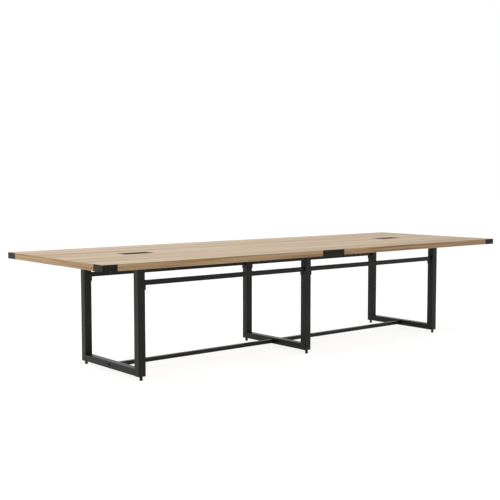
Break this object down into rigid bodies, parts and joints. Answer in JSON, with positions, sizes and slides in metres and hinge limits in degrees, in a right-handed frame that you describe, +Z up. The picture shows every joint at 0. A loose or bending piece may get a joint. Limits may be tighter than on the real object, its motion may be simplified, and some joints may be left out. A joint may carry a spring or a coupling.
{
  "type": "conference table",
  "caption": "Long rectangular conference table: sand laminate top in two halves with black corner plates and flip-lid power units, on black square-tube frames with levelling feet.",
  "frame": {"origin": "on the floor under the middle of the table", "axes": "+X along the table's length to the right, +Y to the rear, +Z up"},
  "size_m": [3.6, 1.2, 0.75],
  "materials": {
    "laminate": "satin sand-coloured wood-grain laminate",
    "beech": "plain beech",
    "black_paint": "matte black powder coat on steel",
    "black_plastic": "matte moulded black plastic",
    "black_aluminium": "black anodised extrusion",
    "zinc_steel": "bright zinc plate"
  },
  "bodies": {
    "table": {"top_left": "laminate", "top_right": "laminate", "seam_dowel_front": "beech", "seam_dowel_middle": "beech", "seam_dowel_rear": "beech", "seam_plate_front": "black_paint", "seam_plate_rear": "black_paint", "corner_plate_front_left": "black_paint", "corner_plate_front_right": "black_paint", "corner_plate_rear_right": "black_paint", "corner_plate_rear_left": "black_paint", "leg_left_front": "black_paint", "leg_left_rear": "black_paint", "bottom_bar_left": "black_paint", "top_bar_left": "black_paint", "leg_middle_front": "black_paint", "leg_middle_rear": "black_paint", "bottom_bar_middle": "black_paint", "top_bar_middle": "black_paint", "leg_right_front": "black_paint", "leg_right_rear": "black_paint", "bottom_bar_right": "black_paint", "top_bar_right": "black_paint", "rail_front_left": "black_paint", "rail_plate_front_left_outer": "black_paint", "rail_plate_front_left_inner": "black_paint", "rail_rear_left": "black_paint", "rail_plate_rear_left_outer": "black_paint", "rail_plate_rear_left_inner": "black_paint", "stretcher_left": "black_paint", "power_bezel_left": "black_plastic", "power_pin_left": "zinc_steel", "power_tub_left": "black_paint", "power_outlets_left": "black_plastic", "power_data_insert_left": "black_plastic", "power_inlet_left": "black_plastic", "rail_front_right": "black_paint", "rail_plate_front_right_outer": "black_paint", "rail_plate_front_right_inner": "black_paint", "rail_rear_right": "black_paint", "rail_plate_rear_right_outer": "black_paint", "rail_plate_rear_right_inner": "black_paint", "stretcher_right": "black_paint", "power_bezel_right": "black_plastic", "power_pin_right": "zinc_steel", "power_tub_right": "black_paint", "power_outlets_right": "black_plastic", "power_data_insert_right": "black_plastic", "power_inlet_right": "black_plastic"},
    "lid_left": {"power_lid_left": "black_aluminium"},
    "lid_right": {"power_lid_right": "black_aluminium"},
    "foot_left_front": {"foot_left_front": "black_plastic"},
    "foot_left_rear": {"foot_left_rear": "black_plastic"},
    "foot_middle_front": {"foot_middle_front": "black_plastic"},
    "foot_middle_rear": {"foot_middle_rear": "black_plastic"},
    "foot_right_front": {"foot_right_front": "black_plastic"},
    "foot_right_rear": {"foot_right_rear": "black_plastic"}
  },
  "joints": [
    {"name": "lid_left_hinge", "type": "hinge", "parent": "table", "child": "lid_left", "pos_m": [-1.2, 0.0394, 0.745], "axis": [-1, 0, 0], "range_deg": [0, 93]},
    {"name": "lid_right_hinge", "type": "hinge", "parent": "table", "child": "lid_right", "pos_m": [1.2, 0.0394, 0.745], "axis": [-1, 0, 0], "range_deg": [0, 93]},
    {"name": "foot_left_front_screw", "type": "slide", "parent": "table", "child": "foot_left_front", "axis": [0, 0, -1], "range_m": [0, 0.015]},
    {"name": "foot_left_rear_screw", "type": "slide", "parent": "table", "child": "foot_left_rear", "axis": [0, 0, -1], "range_m": [0, 0.015]},
    {"name": "foot_middle_front_screw", "type": "slide", "parent": "table", "child": "foot_middle_front", "axis": [0, 0, -1], "range_m": [0, 0.015]},
    {"name": "foot_middle_rear_screw", "type": "slide", "parent": "table", "child": "foot_middle_rear", "axis": [0, 0, -1], "range_m": [0, 0.015]},
    {"name": "foot_right_front_screw", "type": "slide", "parent": "table", "child": "foot_right_front", "axis": [0, 0, -1], "range_m": [0, 0.015]},
    {"name": "foot_right_rear_screw", "type": "slide", "parent": "table", "child": "foot_right_rear", "axis": [0, 0, -1], "range_m": [0, 0.015]}
  ]
}
